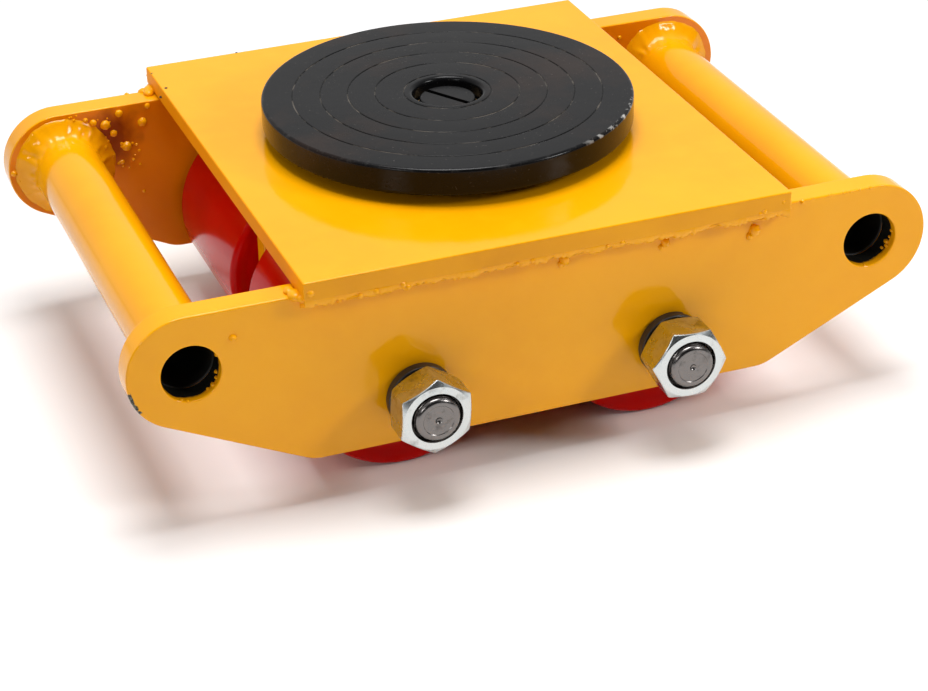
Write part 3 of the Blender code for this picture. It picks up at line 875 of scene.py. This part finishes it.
def hex_nut(name, flats, low, high, bore, matrix, material, shaded_bore_material, node):
    """A hexagon nut: flats and corners, both faces chamfered by a 30 degree cone, the bore countersunk and
    finished in its own metal, a darker one on the zinc nuts as painted shade.
    """
    flat = flats / 2.0
    corner = flat / math.cos(math.pi / 6.0) - NUT_CORNER_WEAR
    face_radius = flat * NUT_FACE
    middle = (low + high) / 2.0
    # Stand-ins for a radius, read by at(): a point on the broken edge, and one on the flat itself.
    broken, full = 10.0, 11.0

    def at(point, angle):
        kind, height = point
        if kind < broken:
            return point
        sector = (angle % (math.pi / 3.0)) - math.pi / 6.0
        reach = min(flat / math.cos(sector), corner)
        if kind == broken:
            inward = NUT_EDGE
            down = max(0.0, reach - NUT_EDGE - face_radius) * NUT_CHAMFER
        else:
            inward = 0.0
            down = max(0.0, reach - face_radius) * NUT_CHAMFER + NUT_EDGE * 0.8
        return reach - inward, height - math.copysign(down, height - middle)

    sink = NUT_SINK
    profile = [(bore, low + sink * 1.2), (bore + sink, low), (face_radius, low), (broken, low), (full, low),
               (full, high), (broken, high), (face_radius, high), (bore + sink, high),
               (bore, high - sink * 1.2)]
    mesh = turned(name, profile, 192, at)
    mesh.materials.append(material)
    mesh.materials.append(shaded_bore_material)
    # The bore and countersinks take the bore's metal: on the zinc nuts a darker one, painted shade in the
    # hole.
    for face in mesh.polygons:
        if math.hypot(face.center.x, face.center.y) < bore + sink * 0.9:
            face.material_index = 1
    return add_piece(name, mesh, matrix, material, "chassis", [node], smooth_angle=14.0)


def make_nuts(zinc, steel, oxide):
    for side, along in SIDES.items():
        for end, sign in ENDS.items():
            turn = Matrix.Rotation(math.radians(90.0 if sign < 0 else -90.0), 4, "X")
            spin = Matrix.Rotation(math.radians(NUT_TURN[f"{side}_{end}"]), 4, "Z")
            matrix = place(along * AXLE_X, 0.0, AXLE_Z, turn) @ spin
            # The zinc nuts' bores take the darker steel as painted shade.
            hex_nut(f"axle_nut_{side}_{end}_plated", NUT_FLATS, NUT_LOW.y, NUT_HIGH.y, NUT_BORE, matrix, zinc,
                    steel, f"axle_nut_{side}_{end}")
            make_washer(f"spring_washer_{side}_{end}_oiled", matrix, oxide, f"spring_washer_{side}_{end}")
    low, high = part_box("king_nut")
    hex_nut("king_nut_plated", high.y - low.y, low.z, high.z, KING_NUT_BORE, Matrix.Identity(4), steel, steel,
            "king_nut")


def make_washer(name, matrix, material, node):
    """A double-coil spring washer: a flat section swept twice round, the second coil over the first."""
    low = SIDE_OUTER_Y + GAP
    high = NUT_LOW.y - GAP
    inner = NUT_BORE + WASHER_PLAY
    coil = (high - low) / 2.0
    half = coil / 2.0 - WASHER_COIL_GAP
    half_r = (WASHER_RADIUS - inner) / 2.0
    middle_r = (WASHER_RADIUS + inner) / 2.0
    corner = WASHER_CORNER
    section = []
    for cx, cz, start in ((1, -1, -90), (1, 1, 0), (-1, 1, 90), (-1, -1, 180)):
        section += arc((cx * (half_r - corner), cz * (half - corner)), corner, start, start + 90, 3)
    sections = []
    count = 200
    for step in range(count + 1):
        t = step / count
        angle = math.radians(WASHER_START + WASHER_SWEEP * t)
        height = low + coil / 2.0 + coil * t
        sections.append([((middle_r + r) * math.cos(angle), (middle_r + r) * math.sin(angle), height + z)
                         for r, z in section])
    add_piece(name, swept(name, sections), matrix, material, "chassis", [node])


def make_axles(steel):
    """Axle bolts: a ground shank, rolled threads at the ends, a rounded tip and a centre-punch mark."""
    root = THREAD_RADIUS - THREAD_DEPTH
    end = [(AXLE_RADIUS, SHANK_END_Y), (AXLE_RADIUS - 0.0004, SHANK_END_Y + 0.0006),
           (root, SHANK_END_Y + 0.0012)]
    y = THREAD_START_Y
    while y < AXLE_END_Y - AXLE_END_ROUND - THREAD_PITCH * 0.6:
        end += [(root, y), (THREAD_RADIUS, y + THREAD_PITCH * 0.42), (THREAD_RADIUS, y + THREAD_PITCH * 0.56),
                (root, y + THREAD_PITCH * 0.98)]
        y += THREAD_PITCH
    round_radius = THREAD_RADIUS - AXLE_END_ROUND
    end += arc((round_radius, AXLE_END_Y - AXLE_END_ROUND), AXLE_END_ROUND, 0.0, 90.0, 8)
    ring = round_radius - 0.0007
    end += [(ring, AXLE_END_Y), (ring - 0.0002, AXLE_END_Y - 0.0002), (0.0015, AXLE_END_Y - 0.0002),
            (0.0012, AXLE_END_Y - 0.0001), (0.0008, AXLE_END_Y - 0.0006), (0.0, AXLE_END_Y - 0.0009)]
    profile = [(radius, -y) for radius, y in reversed(end)] + end
    for side, along in SIDES.items():
        mesh = turned(f"axle_{side}_turned", profile, 96)
        add_piece(f"axle_{side}_turned", mesh, place(along * AXLE_X, 0.0, AXLE_Z, ALONG_Y), steel, "chassis",
                  [f"axle_{side}"])


# ---------------------------------------------------------------- rollers


def make_rollers(red):
    """Broad rollers with a rounded rim, a shallow ring in each end face and a pocket for each bearing."""
    middle = (ROLLER_LOW.y + ROLLER_HIGH.y) / 2.0
    half = (ROLLER_HIGH.y - ROLLER_LOW.y) / 2.0
    shoulder = half - ROLLER_POCKET_DEPTH
    outer_half = [(ROLLER_BORE, shoulder), (ROLLER_POCKET, shoulder), (ROLLER_POCKET, half - ROLLER_MOUTH),
                  (ROLLER_POCKET + ROLLER_MOUTH, half)]
    for share, depth in zip(ROLLER_FACE_GROOVE, (0.0, ROLLER_GROOVE_DEPTH, ROLLER_GROOVE_DEPTH, 0.0)):
        outer_half.append((ROLLER_RADIUS * share, half - depth))
    outer_half += arc((ROLLER_RADIUS - ROLLER_RIM, half - ROLLER_RIM), ROLLER_RIM, 90.0, 0.0, 8)
    profile = outer_half + [(ROLLER_RADIUS, 0.0)] + [(radius, -y) for radius, y in reversed(outer_half)]
    for side, along in SIDES.items():
        for end, sign in ENDS.items():
            mesh = turned(f"roller_{side}_{end}_moulded", profile, 144)
            matrix = place(along * AXLE_X, sign * middle, AXLE_Z, ALONG_Y)
            add_piece(f"roller_{side}_{end}_moulded", mesh, matrix, red, f"roller_{side}_{end}",
                      [f"roller_{side}_{end}"])


# ---------------------------------------------------------------- turntable


def make_cap(black, dusty):
    """The turning cap: a thick disc with turned rings, a pocket for the bolt, a recess for the bearing."""
    top = []
    half = GROOVE_WIDTH / 2.0
    shallow = CAP_TOP_Z - GROOVE_LIP_DEPTH
    deep = CAP_TOP_Z - GROOVE_DEPTH
    for radius in sorted(CAP_GROOVES, reverse=True):
        top += [(radius + half + GROOVE_LIP, CAP_TOP_Z), (radius + half, shallow),
                (radius + half * 0.4, deep), (radius - half * 0.4, deep),
                (radius - half, shallow), (radius - half - GROOVE_LIP, CAP_TOP_Z)]
    lower = arc((CAP_RADIUS - CAP_EDGE, CAP_BOTTOM_Z + CAP_EDGE), CAP_EDGE, -90.0, 0.0, 6)
    upper = arc((CAP_RADIUS - CAP_EDGE, CAP_TOP_Z - CAP_EDGE), CAP_EDGE, 0.0, 90.0, 6)
    lip = arc((HEAD_POCKET_RADIUS + HEAD_LIP, CAP_TOP_Z - HEAD_LIP), HEAD_LIP, 90.0, 180.0, 8)
    profile = [(CAP_BORE, CAP_LOW.z), (BOSS_RADIUS, CAP_LOW.z), (BOSS_RADIUS, RACE_RECESS_Z),
               (RACE_RECESS_RADIUS, RACE_RECESS_Z), (RACE_RECESS_RADIUS, CAP_BOTTOM_Z)]
    profile += lower + upper + top + lip
    profile += [(HEAD_POCKET_RADIUS, HEAD_POCKET_Z), (CAP_BORE, HEAD_POCKET_Z)]
    mesh = turned("turntable_cap_enamelled", profile, 240)
    mesh.materials.append(black)
    mesh.materials.append(dusty)
    for face in mesh.polygons:
        if deep - 0.00001 < face.center.z < shallow + 0.00001:
            radius = math.hypot(face.center.x, face.center.y)
            if any(abs(radius - groove) < GROOVE_WIDTH for groove in CAP_GROOVES):
                face.material_index = 1
    add_piece("turntable_cap_enamelled", mesh, Matrix.Identity(4), black, "cap",
              ["turntable_cap"])


def make_king_bolt(dark):
    """The slotted head in the middle of the cap, with its shank down to the nut."""
    top = KING_HIGH.z
    edge = KING_HEAD_EDGE
    profile = [(0.0, KING_LOW.z), (KING_RADIUS - KING_TIP, KING_LOW.z), (KING_RADIUS, KING_LOW.z + KING_TIP),
               (KING_RADIUS, KING_HEAD_BOTTOM_Z), (KING_HEAD_RADIUS, KING_HEAD_BOTTOM_Z)]
    profile += arc((KING_HEAD_RADIUS - edge, top - edge), edge, 0.0, 90.0, 5) + [(0.0, top)]
    mesh = turned("king_bolt_blackened", profile, 96)
    bolt = bpy.data.objects.new("king_bolt_uncut", mesh)
    bpy.context.scene.collection.objects.link(bolt)
    builder = bmesh.new()
    bmesh.ops.create_cube(builder, size=1.0)
    slot = mesh_from("slot_cutter", builder)
    length, height = 0.03, 0.005
    slot.transform(Matrix.Rotation(math.radians(SLOT_TURN), 4, "Z")
                   @ place(0.0, 0.0, top - SLOT_DEPTH + height / 2.0)
                   @ Matrix.Diagonal((length, SLOT_WIDTH, height, 1.0)))
    cutter = bpy.data.objects.new("slot_cutter", slot)
    bpy.context.scene.collection.objects.link(cutter)
    cut = bolt.modifiers.new("slot", "BOOLEAN")
    cut.operation = "DIFFERENCE"
    cut.solver = "EXACT"
    cut.object = cutter
    soften = bolt.modifiers.new("soften", "BEVEL")
    soften.width = SLOT_SOFTENING
    soften.segments = 2
    soften.limit_method = "ANGLE"
    soften.angle_limit = math.radians(50.0)
    graph = bpy.context.evaluated_depsgraph_get()
    finished = bpy.data.meshes.new_from_object(bolt.evaluated_get(graph))
    bpy.data.objects.remove(bolt)
    bpy.data.objects.remove(cutter)
    add_piece("king_bolt_blackened", finished, Matrix.Identity(4), dark, "chassis",
              ["king_bolt"])


def finish_inner_nodes(steel, bronze):
    """The bearings, sleeves, spacers and king washer keep their CAD shapes, with machined surfaces."""
    for name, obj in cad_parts.items():
        if obj.hide_render:
            continue
        material = bronze if name in ("cap_bush", "thrust_ball_cage") else steel
        obj.data.materials.clear()
        obj.data.materials.append(material)


# ---------------------------------------------------------------- stage


# The floor's size, the soft boxes (where each stands, its side, its power) and the room's light: the way
# it is brightest, where it fades, and its two strengths.
FLOOR_SIZE = 6.0
LIGHTS_AIM = (0.0, 0.0, 0.05)
SOFT_BOXES = {
    "overhead_box": ((0.0, 0.02, 1.15), 0.55, 12.0),
    "right_box": ((0.52, -0.48, 0.48), 0.18, 2.3),
    "left_box": ((-0.80, -0.62, 0.52), 0.22, 1.6),
}
ROOM_BRIGHT_WAY = (0.0, 0.80, 0.60)
ROOM_FADE = {"From Min": -0.25, "From Max": 0.65, "To Min": 0.02, "To Max": 0.66}

# Camera: place in metres, heading, tilt and roll in degrees, lens and sensor in mm, and shift.
CAMERA_SPOT = (-0.2959, -0.7950, 0.4683)
CAMERA_HEADING = -20.397
CAMERA_TILT = 60.874
CAMERA_ROLL = -1.098
CAMERA_LENS = 100.79
CAMERA_SENSOR = 36.0
CAMERA_SHIFT = (0.01345, 0.00366)


def make_floor():
    builder = bmesh.new()
    bmesh.ops.create_grid(builder, x_segments=1, y_segments=1, size=FLOOR_SIZE)
    floor = bpy.data.objects.new("floor", mesh_from("floor", builder))
    bpy.context.scene.collection.objects.link(floor)
    white = Surface("floor_white", (0.87, 0.865, 0.86), 0.6)
    white.set("Specular IOR Level", 0.25)
    floor.data.materials.append(white.material)


def add_soft_box(name, spot, side, power):
    light = bpy.data.lights.new(name, "AREA")
    light.shape = "SQUARE"
    light.size = side
    light.energy = power
    obj = bpy.data.objects.new(name, light)
    bpy.context.scene.collection.objects.link(obj)
    direction = Vector(LIGHTS_AIM) - Vector(spot)
    obj.matrix_world = Matrix.Translation(spot) @ direction.to_track_quat("-Z", "Y").to_matrix().to_4x4()


def make_lights():
    """Three soft boxes in a white room, whose back wall and ceiling are bright and whose front is dim."""
    world = bpy.data.worlds.new("studio")
    bpy.context.scene.world = world
    world.use_nodes = True
    tree = world.node_tree
    background = tree.nodes["Background"]
    background.inputs["Color"].default_value = (1.0, 1.0, 1.0, 1.0)
    towards = tree.nodes.new("ShaderNodeTexCoord").outputs["Generated"]
    facing = tree.nodes.new("ShaderNodeVectorMath")
    facing.operation = "DOT_PRODUCT"
    facing.inputs[1].default_value = ROOM_BRIGHT_WAY
    tree.links.new(towards, facing.inputs[0])
    fade = tree.nodes.new("ShaderNodeMapRange")
    fade.interpolation_type = "SMOOTHSTEP"
    for socket, value in ROOM_FADE.items():
        fade.inputs[socket].default_value = value
    tree.links.new(facing.outputs["Value"], fade.inputs["Value"])
    tree.links.new(fade.outputs["Result"], background.inputs["Strength"])
    for name, (spot, side, power) in SOFT_BOXES.items():
        add_soft_box(name, spot, side, power)
    bpy.context.scene.view_settings.view_transform = "Standard"


def make_camera():
    """A long lens, a little above the dolly's front left, turned slightly about its own axis."""
    camera = bpy.data.cameras.new("camera")
    camera.sensor_width = CAMERA_SENSOR
    camera.lens = CAMERA_LENS
    camera.shift_x, camera.shift_y = CAMERA_SHIFT
    obj = bpy.data.objects.new("camera", camera)
    bpy.context.scene.collection.objects.link(obj)
    turn = Matrix.Rotation(math.radians(CAMERA_HEADING), 4, "Z")
    turn = turn @ Matrix.Rotation(math.radians(CAMERA_TILT), 4, "X")
    turn = turn @ Matrix.Rotation(math.radians(CAMERA_ROLL), 4, "Z")
    obj.matrix_world = Matrix.Translation(CAMERA_SPOT) @ turn
    bpy.context.scene.camera = obj


def main():
    make_camera()
    make_floor()
    make_lights()
    paint = paint_surface("yellow_paint")
    weld_paint = paint_surface("yellow_weld_paint")
    scale_dark = dark_surface("tube_scale", (0.006, 0.006, 0.005), 0.6)
    zinc = metal_surface("zinc_plate", (0.56, 0.59, 0.59), (0.30, 0.31, 0.30), 0.27)
    steel = metal_surface("bright_steel", (0.18, 0.168, 0.162), (0.10, 0.09, 0.085), 0.24)
    bronze = metal_surface("bronze", (0.62, 0.42, 0.20), (0.35, 0.22, 0.10), 0.35)
    oxide = dark_surface("black_oxide", (0.012, 0.012, 0.013), 0.38)
    black = cap_surface("black_cap")
    dusty = cap_surface("black_cap_grooves", grooves=True)
    make_side_plates()
    make_top_plate()
    make_centre_plate(paint)
    make_cross_tubes(paint, scale_dark)
    make_tube_welds(weld_paint)
    make_deck_beads(weld_paint)
    make_corner_welds(weld_paint)
    make_spatter(weld_paint)
    make_eye_drips(weld_paint)
    make_slag_specks(scale_dark)
    make_axles(steel)
    make_nuts(zinc, steel, oxide)
    make_rollers(red_surface())
    make_cap(black, dusty)
    make_king_bolt(black)
    finish_inner_nodes(steel, bronze)


main()
